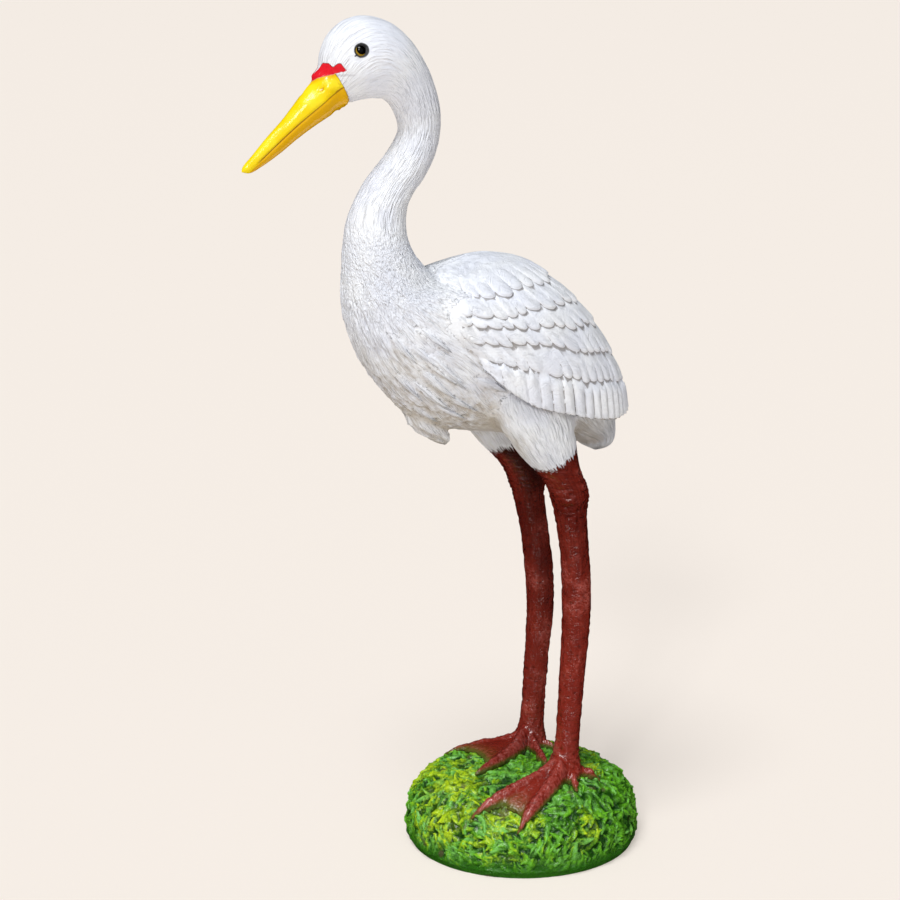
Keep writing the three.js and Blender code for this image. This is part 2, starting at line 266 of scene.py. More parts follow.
class Finish:
    """A painted finish: one Principled shader and the nodes that drive it."""

    def __init__(self, name, **fixed):
        self.material = bpy.data.materials.new(name)
        self.material.use_nodes = True
        self.tree = self.material.node_tree
        self.shader = self.tree.nodes["Principled BSDF"]
        for socket, value in fixed.items():
            self.shader.inputs[socket.replace("_", " ")].default_value = value

    def node(self, kind, settings=None, inputs=None, output=0):
        made = self.tree.nodes.new("ShaderNode" + kind)
        for key, value in (settings or {}).items():
            setattr(made, key, value)
        for socket, value in (inputs or {}).items():
            if isinstance(value, Shade):
                self.tree.links.new(value.socket, made.inputs[socket])
            else:
                made.inputs[socket].default_value = value
        return Shade(self, made.outputs[output])

    def drive(self, socket, value):
        self.tree.links.new(value.socket, self.shader.inputs[socket])

    def place(self):
        """The point on the object, in metres."""
        return self.node("TexCoord", output=3)

    def where(self):
        """How far the point is to either side, ahead and up, in millimetres."""
        left, behind, above = self.parts(self.place())
        return left.size() / MM, behind * (-1 / MM), above / MM

    def stored(self, name, output=2):
        return self.node("Attribute", {"attribute_name": name}, output=output)

    def parts(self, vector):
        return [self.node("SeparateXYZ", inputs={0: vector}, output=k) for k in range(3)]

    def grain(self, vector, scale, detail=2.0, rough=0.5, warp=0.0):
        inputs = {"Vector": vector, "Scale": scale, "Detail": detail, "Roughness": rough, "Distortion": warp}
        return self.node("TexNoise", None, inputs)

    def blend(self, share, first, second):
        """A mix of two colours."""
        settings = {"data_type": "RGBA", "blend_type": "MIX"}
        return self.node("Mix", settings, {0: share, 6: first, 7: second}, output=2)

    def scaled(self, vector, factors):
        settings = {"operation": "MULTIPLY"}
        return self.node("VectorMath", settings, {0: vector, 1: factors})

    def bump(self, height):
        inputs = {"Height": height, "Distance": 0.003, "Strength": 0.9}
        self.drive("Normal", self.node("Bump", None, inputs))


def rgb(red, green, blue):
    """A paint colour from its 0 to 255 screen values, as light."""
    parts = (red, green, blue)
    return tuple(((c / 255 + 0.055) / 1.055) ** 2.4 if c > 10 else c / 255 / 12.92 for c in parts) + (1,)


turf = Finish("grass_paint", Specular_IOR_Level=0.4, Coat_Weight=0.35, Coat_Roughness=0.14)
spot = turf.place()
_, north, above = turf.parts(spot)
blade, tone = turf.stored("blade"), turf.stored("shade")
patches = turf.grain(spot, 24, 2)
flecks = turf.grain(spot, 210, 3, 0.6, 1.2)
raised = (blade * 0.9 + flecks * 1.1 - 0.5).step(0, 0.85)
green = turf.blend(raised, rgb(10, 64, 0), rgb(112, 194, 34))
# Bluish green on the raised blades: partly dry-brushing, partly a painted sheen that grows on the higher
# blades.
bluish_green_and_sheen = (tone - 0.5 + 1.2 * (patches - 0.5) + 4 * (above - 0.05)).step(0, 0.4)
green = green.covered(bluish_green_and_sheen * raised * 0.85, rgb(126, 200, 98))
dabs = turf.grain(spot, 19, 1)
# Yellow dabs: partly dry-brushing, partly painted light laid more on the top and the front, where the key
# light falls.
yellow_and_painted_light = 1.1 * (dabs - 0.5) + 0.25 * (0.5 - tone) + 0.5 * (flecks - 0.5)
yellow_and_painted_light = (yellow_and_painted_light + 1.3 * (0 - north) + 4 * (above - 0.075)).step(-0.04, 0.24) * (raised * 0.9 + 0.1)
green = green.covered(yellow_and_painted_light * 0.85, rgb(204, 226, 16))
low_edge = 1 - (above + 0.012 * (flecks + patches)).step(0.018, 0.034)
green = green.covered(low_edge, rgb(42, 108, 6))
grit = turf.grain(spot, 46, 1).step(0.70, 0.74)
green = green.covered(grit * 0.7, rgb(84, 74, 48))
turf.drive("Base Color", green)
turf.drive("Roughness", 0.22 + 0.26 * turf.grain(spot, 120))
turf.bump(flecks + 0.3 * turf.grain(spot, 620))
mound.data.materials.append(turf.material)
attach(mound, "root")
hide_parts("grass_mound")

# The stork: one cast bird, modelled in plumes and strokes, standing on two legs with webbed feet. Its head,
# neck, breast, belly and tail are one long form. Each row is a slice of it from the face to the tail's end:
# ahead and up of its back or top edge, ahead and up of its front or lower edge, half width.
TRUNK = [
    (210.5, 771, 210.5, 771, 0), (222.5, 782.5, 188, 760.5, 12.5), (216, 792.5, 182, 760.5, 17.5),
    (213.5, 805.5, 175, 762, 22.5), (206, 821.5, 166, 763, 27.5), (190, 834.5, 159, 763, 30.5),
    (170, 838.5, 152.5, 762.5, 31.5), (146.5, 832.5, 147, 759, 30.5), (126.5, 817, 141.5, 753.5, 28),
    (110.5, 794.5, 137.5, 745.5, 25), (101, 773.5, 135.5, 738.5, 22.5), (95, 752, 135.5, 730.5, 20.5),
    (95.5, 730.5, 140.5, 721.5, 20.8), (101, 709, 149, 710, 22), (113, 687.5, 160.3, 697, 23.8),
    (124, 673.5, 170.8, 683.5, 25.5), (131, 659.5, 180.5, 667.5, 27.5), (132.5, 644.5, 187, 652.5, 30),
    (130, 628.5, 190.3, 634.5, 34.5), (120.5, 611.5, 191.8, 612.5, 41), (97, 591, 192, 587, 49),
    (69, 600, 189.5, 557, 58), (32, 606, 178, 522, 66), (-3, 593, 158.5, 491, 68),
    (-32, 572, 133, 463.5, 66), (-56, 546, 106, 448.5, 60), (-76, 516, 66, 439, 52),
    (-89, 486, 22, 432, 43), (-96, 458, -20, 423, 34), (-99, 431, -58, 416, 26),
    (-96, 413, -66, 411, 20), (-81, 404, -81, 404, 0),
]
NECK_ROW, BREAST_ROW, LEG_ROW, TAIL_ROW = 11, 19, 24, 28
SMOOTH, STROKED, CLOTTED, WRINKLED, SCALY, BARBED = range(6)
PLUME = Sizes(count=320, rows=(19.0, 26.0), angles=(8, 104), length=(0.9, 2.2), half_width=(1.8, 4.2),
             height=1.9, girth=62)
STROKE_DEPTHS = (0, 5, 9, 14, 19, 21, 25, 31), (0.2, 0.3, 0.35, 0.5, 0.75, 0.9, 0.75, 0.7)
TRUNK_MELT = 20
casting = []


def row_at(rows, t):
    """The values of the rows at t from 0 to 1, on a smooth curve through them."""
    rows = np.asarray(rows, float)
    last = len(rows) - 1
    i = np.clip((t * last).astype(int), 0, last - 1)
    f = (t * last - i)[..., None]
    a, b, c, d = (rows[np.clip(i + k, 0, last)] for k in (-1, 0, 1, 2))
    start, end = (c - a) / 2, (d - b) / 2
    return (((2 * b - 2 * c + start + end) * f + 3 * c - 3 * b - 2 * start - end) * f + start) * f + b


def slice_point(rows, t, angle, left=0.0, lift=0.0):
    """The point of a body of slices at t along it and at an angle round it, 0 at its front edge."""
    back_ahead, back_up, front_ahead, front_up, half = np.moveaxis(row_at(rows, t), -1, 0)
    depth = np.stack([0 * half, back_ahead - front_ahead, front_up - back_up], -1)
    depth = depth * np.cos(angle)[..., None] / 2
    side = np.stack([half * np.sin(angle), 0 * half, 0 * half], -1)
    out = unit(depth + side, least=1e-9)
    middle = np.stack([left + 0 * half, -(back_ahead + front_ahead) / 2, (back_up + front_up) / 2], -1)
    return middle + depth + side + out * np.asarray(lift)[..., None]


def length_along(rows, t):
    """How far the middle of the slices has come at t, in millimetres."""
    steps = np.linspace(0, 1, 600)
    middle = row_at(rows, steps)
    path = np.stack([(middle[:, 0] + middle[:, 2]) / 2, (middle[:, 1] + middle[:, 3]) / 2], 1)
    run = np.append(0, np.cumsum(np.linalg.norm(np.diff(path, axis=0), axis=1)))
    return np.interp(t, steps, run)


def close_form(name, points, flow, carving, depth, melt):
    """Sews the active sheet into a closed form and notes how its surface is carved: the way the strokes
    flow, the kind of carving, how deep it is and how far the form melts into the next one, in millimetres."""
    form = bpy.context.object
    form.name = name
    set_points(form, points * MM)
    store(form, "flow", flow)
    for kind, values in (("carving", carving), ("depth", depth), ("melt", melt)):
        store(form, kind, np.broadcast_to(values, len(points)))
    bpy.ops.object.mode_set(mode="EDIT")
    bpy.ops.mesh.select_all(action="SELECT")
    bpy.ops.mesh.remove_doubles(threshold=1e-6)
    bpy.ops.mesh.normals_make_consistent(inside=False)
    bpy.ops.object.mode_set(mode="OBJECT")
    casting.append(form)


def add_sheet(columns, lines, thick=True):
    """Adds a sheet: across and up it from 0 to 1, and whether a point is on its front."""
    bpy.ops.mesh.primitive_grid_add(x_subdivisions=columns, y_subdivisions=lines, size=1)
    if thick:
        body = bpy.context.object.modifiers.new("body", "SOLIDIFY")
        body.thickness, body.offset = 1, -1
        bpy.ops.object.modifier_apply(modifier="body")
    flat = points_of(bpy.context.object)
    return flat[:, 0] + 0.5, flat[:, 1] + 0.5, flat[:, 2] > -0.5


def add_tube(name, place, around, along):
    """A sheet rolled round into a closed form, with each point put in place by its angle and t."""
    across, t, _ = add_sheet(around, along, thick=False)
    close_form(name, *place(across * 2 * pi, np.clip(t, 0, 1)))


def plumes(row, angle):
    """How high the long pointed plumes stand that lie along the run of the breast and belly."""
    rng = np.random.default_rng(8)
    height = np.zeros(len(row))
    for _ in range(PLUME.count):
        first, side = rng.uniform(*PLUME.rows), rng.choice((-1, 1))
        at, long = radians(rng.uniform(*PLUME.angles)), rng.uniform(*PLUME.length)
        wide, twist = rng.uniform(*PLUME.half_width), radians(rng.normal(5, 4))
        tall = PLUME.height * rng.uniform(0.5, 1)
        near = np.flatnonzero((row > first) & (row < first + long) & (np.abs(angle - side * at) < 0.4))
        s = (row[near] - first) / long
        across = (angle[near] * side - at - twist * s) * PLUME.girth
        across = (across + 1.2 * np.sin(7 * s + 9 * at)) / wide
        taper = np.sin(pi * s ** 1.3) ** 0.8
        body = np.sqrt(np.clip(1 - (across / np.maximum(taper, 1e-3)) ** 2, 0, 1)) * tall * s ** 0.5
        height[near] = np.maximum(height[near], body)
    return height


def trunk_place(angle, t):
    last = len(TRUNK) - 1
    stops = np.array([0, NECK_ROW, BREAST_ROW, TAIL_ROW + 0.6, last]) / last
    t = np.interp(t, (0, 0.27, 0.5, 0.93, 1), stops)
    row = t * last
    angle = np.where(angle > pi, angle - 2 * pi, angle)
    angle = angle - 0.3 * np.sin(angle) * ramp(row, NECK_ROW + 4, LEG_ROW)
    points = slice_point(TRUNK, t, angle, lift=plumes(row, angle))
    run = length_along(TRUNK, t)
    girth = mix(23, 66, ramp(row, BREAST_ROW - 2, BREAST_ROW + 3))
    sway = 0.05 * np.sin(run / 19 + 2 * np.sin(angle))
    flow = np.stack([girth * np.sin(angle + sway), girth * np.cos(angle + sway), run], 1)
    facing = np.cos(angle)
    clotted = ramp(row, 21.4, 22.8) * (1 - ramp(row, 25.2, 26.5)) * ramp(facing, 0.1, 0.75)
    return points, flow, mix(STROKED, CLOTTED, clotted), np.interp(row, *STROKE_DEPTHS), TRUNK_MELT


add_tube("trunk", trunk_place, around=300, along=380)

# The bill is cast with the head: a long wedge with a slit where its two halves meet, and a nostril dimple.
# Its slices run from the root inside the face to the tip.
BILL = [
    (190, 778, 190, 778, 0), (211, 788, 189, 758.5, 17.5), (225, 777.5, 205, 748.5, 15),
    (238, 762, 222.3, 738.3, 12), (252.5, 745, 238.5, 727.5, 9), (268.5, 729, 256, 714.5, 7),
    (282.5, 713.5, 272.5, 704, 5), (291, 704.5, 284.5, 698, 3.8), (293, 699, 293, 699, 0),
]
BILL_MELT = 2.5
SLIT = Sizes(start=(196, 776.5), end=(284, 701.5), sag=1.6, depth=1.1, half_height=0.9)
SLIT_LENGTH = hypot(SLIT.end[0] - SLIT.start[0], SLIT.end[1] - SLIT.start[1])
NOSTRIL = Sizes(ahead=217.4, up=773, reach=4.0, height=1.5, depth=1.2)


def bill_place(angle, t):
    points = slice_point(BILL, t, angle)
    flow = np.stack([points[:, 0], points[:, 0] * 0, length_along(BILL, t)], 1)
    return points, flow, SMOOTH, 0.12, BILL_MELT


def from_slit(ahead, up):
    """How far places are along the slit, and how far below the straight line between its ends."""
    (a0, u0), (a1, u1) = SLIT.start, SLIT.end
    along = ((ahead - a0) * (a1 - a0) + (up - u0) * (u1 - u0)) / SLIT_LENGTH
    return along, ((ahead - a0) * (u1 - u0) - (up - u0) * (a1 - a0)) / SLIT_LENGTH


def bill_cuts(points):
    """How deep the slit and the nostril are cut at points of the bill, in millimetres."""
    ahead, up = -points[:, 1], points[:, 2]
    along, below = from_slit(ahead, up)
    off = below + SLIT.sag * np.sin(pi * along / SLIT_LENGTH)
    slit = np.exp(-(off / SLIT.half_height) ** 2)
    slit *= ramp(along, -8, 0) * (1 - ramp(along, 102, 114))
    near = ((ahead - NOSTRIL.ahead) * 0.7 - (up - NOSTRIL.up) * 0.7) / NOSTRIL.reach
    high = ((ahead - NOSTRIL.ahead) * 0.7 + (up - NOSTRIL.up) * 0.7) / NOSTRIL.height
    return SLIT.depth * slit + NOSTRIL.depth * np.exp(-near ** 2 - high ** 2)


add_tube("bill", bill_place, around=72, along=110)

# The breast ends below in a pointed tuft of hanging plumes,
# cast in one with it.
TUFT = [
    (115, 478, 115, 478, 0), (98, 465, 131.5, 457, 18), (91, 449, 120, 442.5, 15.5),
    (85, 438, 108, 434, 10.5), (84, 430.5, 97, 428, 6), (89, 425, 89, 425, 0),
]


def tuft_place(angle, t):
    folds = 1.5 * np.sin(5 * angle + 3 * np.sin(6 * t)) * np.sin(pi * t)
    points = slice_point(TUFT, t, angle, lift=folds)
    flow = np.stack([14 * np.sin(angle), 14 * np.cos(angle), 60 * t], 1)
    return points, flow, STROKED, 0.8, 10


add_tube("breast_tuft", tuft_place, around=60, along=44)

# Plume locks: pointed clumps of feathers that lie over the lower breast and tip outwards.
# Each is given by its row on the trunk, its angle round it, its length in rows and its half width.
LOCK = Sizes(half_thickness=2.8, twist=9, sunk=5.5, raised=8.5, ridges=0.16, melt=3.5)
LOCKS = [
    (23.3, 16, 1.5, 5.5), (23.5, 33, 1.6, 4.5), (23.1, 44, 1.9, 4.5), (23.4, 66, 1.6, 5.0),
    (22.2, 25, 1.5, 5.5), (22.3, 43, 1.8, 5.0), (21.8, 52, 2.2, 7.0), (21.1, 61, 1.7, 5.0),
    (21.4, 49, 1.7, 4.5), (21.9, 50, 1.8, 5.0), (22.6, 34, 1.8, 4.5), (20.8, 40, 1.8, 5.0),
]


def add_lock(number, side, row, angle, length, half_width):
    last = len(TRUNK) - 1

    def place(turn, s):
        t = (row + length * s) / last
        round_at = np.radians(angle + LOCK.twist * s) * side
        lift = LOCK.raised * s ** 0.8 - LOCK.sunk
        middle = slice_point(TRUNK, t, round_at, lift=lift)
        out = slice_point(TRUNK, t, round_at, lift=lift + 1) - middle
        ahead = unit(slice_point(TRUNK, t + 0.002, round_at, lift=lift) - middle)
        across = unit(np.cross(ahead, out))
        taper = np.sin(pi * s ** 0.8)[:, None]
        wide, thick = half_width * np.cos(turn)[:, None], LOCK.half_thickness * np.sin(turn)[:, None]
        ridges = 1 + LOCK.ridges * np.cos(7 * turn + 2 * s)[:, None]
        points = middle + (across * wide + out * thick * ridges) * taper
        flow = np.stack([wide[:, 0] + 40 * number, thick[:, 0], s * 34], 1)
        return points, flow, STROKED, 0.6, LOCK.melt

    add_tube(f"lock_{number}", place, around=24, along=44)


for number, lock in enumerate(LOCKS):
    add_lock(2 * number, 1, *lock)
    add_lock(2 * number + 1, -1, *lock)

# The folded wings: rows of feathers laid over the back, from a smooth shoulder to the long flight feathers.
# A row: where it starts at the wing's front edge (left, ahead, up), where it meets the other wing on the
# back (ahead, up) and its half width. Feathers overlap downwards, and each tips up over the next row. A row
# of feathers ends below at an edge: its height on the wing, from 0 to 1, at places from front to back.
WING = [
    (6, 101, 598, 66, 609, 7), (27, 106, 593, 40, 610, 30), (44, 116, 585, 4, 602.5, 51),
    (57, 121, 574, -29, 581, 66), (63, 119, 562, -53, 559, 73), (66.5, 111, 548, -75, 532, 76.5),
    (68, 98, 534, -91, 504, 77.5), (69, 87, 525, -99, 487, 77.5), (69.5, 83, 518, -104, 472, 76.5),
    (70, 81, 513, -107, 460, 75),
]
WING_SAG = 25.5
COLUMNS = 230
ROW_EDGES = [
    [(0, 0.13), (0.1, 0.24), (0.2, 0.32), (0.35, 0.32), (0.55, 0.30), (1, 0.30)],
    [(0, 0.36), (0.1, 0.44), (0.28, 0.46), (0.4, 0.42), (1, 0.42)],
    [(0, 0.50), (0.2, 0.51), (0.3, 0.53), (0.5, 0.52), (1, 0.53)],
    [(0, 0.61), (0.2, 0.62), (0.35, 0.61), (0.5, 0.64), (1, 0.65)],
    [(0, 0.80), (0.2, 0.79), (0.42, 0.81), (0.6, 0.79), (1, 0.82)],
    [(0, 1.014), (1, 1.014)],
]
ROW_LINES = (34, 18, 16, 16, 22, 36)
ROW_FEATHERS = (13, 14, 17, 17, 17, 20)
ROW_GAP = 0.0022
LIP = 3.3
GROOVE = Sizes(front=0.35, top=0.62, tip=0.55)
BARB_PACES = 1.7, 9.0, 0.4
WING_SPAN = 235


def wing_surface(side, u, v):
    left, ahead, up, back_ahead, back_up, half = np.moveaxis(row_at(WING, np.minimum(v, 1)), -1, 0)
    start = -np.arccos(np.minimum(left / half, 1))
    turn = mix(start, pi / 2, u)
    share = (np.sin(turn) - np.sin(start)) / (1 - np.sin(start))
    droop = np.sin(pi / 2 * np.minimum(1, u / 0.25)) * np.sin(pi * np.maximum(u, 0.42) ** 0.8) ** 0.8
    sag = ramp(v, 0.7, 1) * WING_SAG * np.maximum(droop, 0)
    past = np.maximum(v - 1, 0) * 150
    return np.stack([side * (half * np.cos(turn) - 0.8 * u), -mix(ahead, back_ahead, share),
                     mix(up, back_up, share) - sag - past], -1)


def wing_point(side, u, v, lift):
    step = 0.004
    u0, u1 = np.maximum(u - step, 0), np.minimum(u + step, 1)
    v0, v1 = np.maximum(v - step, 0), np.minimum(v + step, 1)
    along_row = wing_surface(side, u1, v) - wing_surface(side, u0, v)
    down_row = wing_surface(side, u, v1) - wing_surface(side, u, v0)
    out = unit(np.cross(down_row, along_row) * side, least=1e-9)
    return wing_surface(side, u, v) + out * lift[..., None]


def feather_rows(rng):
    """The lines of a wing's grid from the top down: height v, lift, barb, feather and place across it."""
    u = np.linspace(0, 1, COLUMNS + 1)
    rows = []
    top = np.zeros_like(u)
    for k, (edge, lines, count) in enumerate(zip(ROW_EDGES, ROW_LINES, ROW_FEATHERS)):
        flight = k == len(ROW_EDGES) - 1
        widths = rng.uniform(0.92, 1.08, count + 2) if flight else rng.uniform(0.65, 1.45, count + 2)
        sides = np.append(0, np.cumsum(widths)) / widths[:-2].sum() - rng.uniform(0.3, 0.9) / count
        number = np.clip(np.searchsorted(sides, u, side="right") - 1, 0, count + 1)
        wide = np.diff(sides)[number]
        f = (u - sides[number]) / wide
        drop, plump, tilt = (rng.uniform(-1, 1, count + 2)[number] for _ in range(3))
        roundness = np.sqrt(np.clip(1 - (2 * f - 1) ** 2, 0, 1)) ** 0.8
        pointed = ramp(u, 0.3, 0.55) * (1 - ramp(u, 0.8, 0.95))
        scallop = mix(0.02, 0.07, pointed) if flight else 0.52 * wide
        bottom = np.interp(u, *zip(*edge)) - scallop * (1 - roundness) + (0.006 if flight else 0.011) * drop
        bottom = np.maximum(bottom, top + 0.02)
        across = (f - 0.5) * wide * WING_SPAN
        for j in range(lines):
            s = (j + (0.3 if k else 0.0)) / (lines - (0.7 if k else 1.0))
            v = mix(top, bottom, s)
            along = (v - top) * WING_SPAN
            near_tip = ramp(s, 0.25, 0.95) if k > 1 else ramp(s, 0.62, 0.98)
            crown = 1 - 0.5 * (2 * f - 1) ** 2 * near_tip
            tip = LIP * (1 + 0.25 * plump) * crown
            lift = mix(0.3 if k else LIP, tip, s ** 0.8) + 0.9 * tilt * (f - 0.5) * near_tip
            if k == 0:
                lift = mix(LIP, tip, ramp(s, 0.6, 1))
            if flight:
                groove = mix(GROOVE.front, 1, ramp(u, 0.1, 0.4))
                cut = (GROOVE.top + GROOVE.tip * s) * groove * (1 - roundness)
                lift = mix(0.5, LIP * 1.5, min(1, s * 5)) * (1 - cut) + 0.6 * (f - 0.5)
            shaft = 0.3 * np.exp(-(across / 0.8) ** 2) * ramp(s, 0.1, 0.4) * (1.0 if flight else 0.4)
            lift = lift + shaft * (k > 0)
            if j == lines - 1:
                lift = lift * 0.85
            rows.append((v, lift, along - 0.95 * np.abs(across), number + 20.0 * k, np.abs(across)))
        top = bottom + ROW_GAP
    return [np.array(column) for column in zip(*rows)]


def add_wing(name, side):
    heights, lifts, *patterns = feather_rows(np.random.default_rng(31 + side))
    lines = len(heights) - 1
    across, upwards, outer = add_sheet(COLUMNS, lines)
    column = np.rint(across * COLUMNS).astype(int)
    line = np.rint((1 - upwards) * lines).astype(int)
    u, v = column / COLUMNS, heights[line, column]
    edge = np.minimum(1, np.minimum(u * 20, (1 - u) * 12 + 0.2))
    thin = mix(20, 1.2, ramp(v, 0.6, 0.99))
    lift = np.where(outer, lifts[line, column] * edge, -thin)
    points = wing_point(side, u, np.minimum(v, 1.03), lift)
    flow = np.stack([pattern[line, column] * pace for pattern, pace in zip(patterns, BARB_PACES)], 1)
    shoulder = (1 - ramp(u, 0.04, 0.14)) * (1 - ramp(v, 0.5, 0.62))
    close_form(name, points, flow, BARBED, 0.35, mix(2, 14, shoulder))


add_wing("wing_left", 1)
add_wing("wing_right", -1)

# Legs: feathered thighs above, then bare wrinkled shanks with a thick knee, and an ankle that spreads into
# the foot. Slices are level: ahead and up of the middle, half depth, half side.
LEG = [
    (24, 495, 0, 0), (24, 481, 36, 20), (13.5, 455, 40, 26), (4, 433, 35, 25), (-5.5, 413, 28, 22.5),
    (-16, 396, 22, 20), (-24.2, 382, 20, 19), (-28, 368, 18.6, 18), (-29.5, 351, 15.8, 15.5),
    (-34.3, 313, 14.5, 14.5), (-37.2, 268, 14.5, 14.5), (-36.8, 228, 14, 13.5), (-33.5, 183, 12.8, 12.5),
    (-31.3, 148, 12.3, 12), (-29, 118, 12.2, 12), (-27.5, 99, 13.5, 13.5), (-25, 85, 18, 18),
    (-22, 73, 20, 21), (-22, 61, 0, 0),
]
LEG_LEFT = 44
RIGHT_LEAN = Sizes(ahead=5.5, middle=320, reach=85)
COLLAR_UP, KNEE_UP = 404, 356
LEG_MELT = 24


def add_leg(name, left, lean):
    rows = []
    for middle, up, depth, side in LEG:
        shift = np.clip((up - RIGHT_LEAN.middle) / RIGHT_LEAN.reach, -1, 1)
        ahead = middle + lean * shift
        rows.append((ahead - depth, up, ahead + depth, up, side))

    def place(angle, t):
        t = np.interp(t, (0, 0.36, 0.5, 0.9, 1), np.array([0, 5.2, 7.9, 16, 18]) / 18)
        points = slice_point(rows, t, angle, left)
        up = points[:, 2]
        bare = 1 - ramp(up, COLLAR_UP - 6, COLLAR_UP + 4)
        run = length_along(rows, t)
        girth = np.where(bare > 0.5, mix(30, 14, bare), 30)
        flow = np.stack([girth * np.sin(angle), girth * np.cos(angle) + left, run], 1)
        knee = np.exp(-((up - KNEE_UP) / 16) ** 2)
        carving = np.where(bare > 0.5, WRINKLED, STROKED)
        return points, flow, carving, np.where(bare > 0.5, 0.8 + 0.6 * knee, 0.8), LEG_MELT

    add_tube(name, place, around=84, along=210)


add_leg("leg_left", LEG_LEFT, 0)
add_leg("leg_right", -LEG_LEFT, RIGHT_LEAN.ahead)

# Feet: toes with cross wrinkles that lie on the mound, and skin stretched between the front toes.
# A toe's path has three plan points from ankle to tip (left, ahead), then its half width and height.
TOES = [
    ([(46, -24), (61, 34), (63, 90)], 10, 13), ([(48, -24), (80, 17), (99, 56)], 9, 14),
    ([(44, -30), (54, -46), (62, -60)], 6.5, 11), ([(48, -28), (70, -24), (84, -18)], 5.5, 9.5),
    ([(-44, -24), (-60, 14), (-77, 54)], 9, 9.5), ([(-42, -24), (-12, 12), (11, 60)], 9, 13.5),
    ([(-40, -28), (-4, -22), (25, -15)], 6.5, 11), ([(-42, -32), (-28, -42), (-16, -46)], 6.5, 11),
]
TOE = Sizes(narrowing=0.35, flattening=0.22, raised=0.1, wrinkle=2.6, wrinkle_gap=5.5, instep=0.9, melt=7)
WEB = Sizes(start=0.08, hollow=0.1, sunk=7, back_skin=9, front_skin=4.4, melt=6)
WEBS = [(0, 1, 0.92), (4, 5, 0.84)]


def along_path(path, t):
    start, middle, end = (np.array(p, float) for p in path)
    bend = 2 * middle - (start + end) / 2
    t = np.asarray(t)[..., None]
    return (1 - t) ** 2 * start + 2 * t * (1 - t) * bend + t * t * end


def add_toe(number, path, width, height):
    length = sum(np.linalg.norm(np.subtract(b, a)) for a, b in zip(path, path[1:]))

    def place(angle, t):
        left, ahead = along_path(path, t).T
        next_left, next_ahead = along_path(path, t + 0.01).T
        across = unit(np.stack([next_ahead - ahead, next_left - left, 0 * t], 1))
        ends = np.sqrt(np.clip(1 - t ** 4, 0, 1)) * np.minimum(1, t * 12)
        narrow, flat = 1 - TOE.narrowing * t, 1 - TOE.flattening * t
        folds = length * t / TOE.wrinkle_gap
        skin = np.stack([folds, 1.1 * np.cos(angle), number + 1.1 * np.sin(angle)], 1)
        wrinkle = TOE.wrinkle * (0.5 - np.abs(noise(skin))) * (1 - ramp(t, 0.82, 0.95))
        middle = np.stack([left, -ahead, mound_up(left, ahead) + TOE.raised * height], 1)
        middle += across * (width * ends * narrow * np.cos(angle))[:, None]
        rise = np.where(np.sin(angle) > 0, np.abs(np.sin(angle)) ** 1.4, np.sin(angle))
        instep = 1 + TOE.instep * np.exp(-(t / 0.2) ** 2)
        middle[:, 2] += (height * narrow * flat * instep * rise + wrinkle * ramp(rise, 0, 0.5)) * ends
        flow = np.stack([width * np.cos(angle), height * np.sin(angle) + 50 * number, length * t], 1)
        return middle, flow, SCALY, 0.9, TOE.melt

    add_tube(f"toe_{number}", place, around=36, along=60)


def add_web(number, first, second, reach):
    u, v, outer = add_sheet(columns=22, lines=28)
    t = mix(WEB.start, reach - WEB.hollow * np.sin(pi * u), v)
    a, b = along_path(TOES[first][0], t), along_path(TOES[second][0], t)
    left, ahead = mix(a, b, u[:, None]).T
    skin = mix(WEB.back_skin, WEB.front_skin, v) - 2.0 * ramp(v, 0.9, 1)
    up = mound_up(left, ahead) + np.where(outer, skin, -WEB.sunk)
    flow = np.stack([left, ahead, up], 1)
    close_form(f"web_{number}", np.stack([left, -ahead, up], 1), flow, SCALY, 0.3, WEB.melt)


for number, toe in enumerate(TOES):
    add_toe(number, *toe)
for number, web in enumerate(WEBS):
    add_web(number, *web)

# The forms are joined into the one casting, and the creases where they meet are smoothed as a modeller
# smooths wet clay. The strokes of the plumage are then cut over the joins.
EYE = Sizes(radius=7, left=22.6, ahead=184, up=806.5, look=(0.93, -0.12, 0.22), play=0.1)
LID = Sizes(ring=7.1, thickness=1.15, out=3.1)
GROUND_GAP = 0.25
CARVED = {"flow": 3, "carving": 1, "depth": 1}
MELTING = ((8, 0), (20, 4), (40, 8), (400, 14))
STROKE = Sizes(fine=(3.6, 3.6, 26), broad=(7.5, 7.5, 40))
KNEE_FOLDS = Sizes(up=374, reach=12, height=1.3, pace=(34, 34, 4.6))
# Weights of the beige wash and its painted shade: wide and near hollows, undersides, and below the wings.
WASH_AND_SHADE = Sizes(wide=0.16, near=0.3, below=0.85, under_wing=0.3)


def combine(piece, other, operation="UNION"):
    step = piece.modifiers.new("join", "BOOLEAN")
    step.solver, step.operation, step.object = "MANIFOLD", operation, other
    bpy.context.view_layer.objects.active = piece
    bpy.ops.object.modifier_apply(modifier="join")
    bpy.data.objects.remove(other)


def stored_on(piece, name, width=1):
    field = "vector" if width == 3 else "value"
    return read(piece.data.attributes[name].data, field, width).astype(float)


casting.sort(key=lambda form: len(form.data.vertices))
stork = casting[0]
for form in casting[1:]:
    combine(stork, form)
stork.name = "painted_stork"


def tree_of(points):
    tree = KDTree(len(points))
    for k, p in enumerate(points):
        tree.insert(p, k)
    tree.balance()
    return tree


def relax(points, ends, weight, rounds):
    """Each point moves towards the middle of its neighbours, by its weight, again and again."""
    used, local = np.unique(ends[(weight[ends] > 0).any(1)], return_inverse=True)
    local = local.reshape(-1, 2)
    start, end = np.concatenate([local, local[:, ::-1]]).T
    share = 1 / np.maximum(np.bincount(start, minlength=len(used)), 1)
    pull = 0.6 * weight[used]
    columns = list(points[used].T)
    for _ in range(rounds):
        middles = [np.bincount(start, column[end], len(used)) * share for column in columns]
        columns = [column + (middle - column) * pull for column, middle in zip(columns, middles)]
    moved = points.copy()
    moved[used] = np.stack(columns, 1)
    return moved


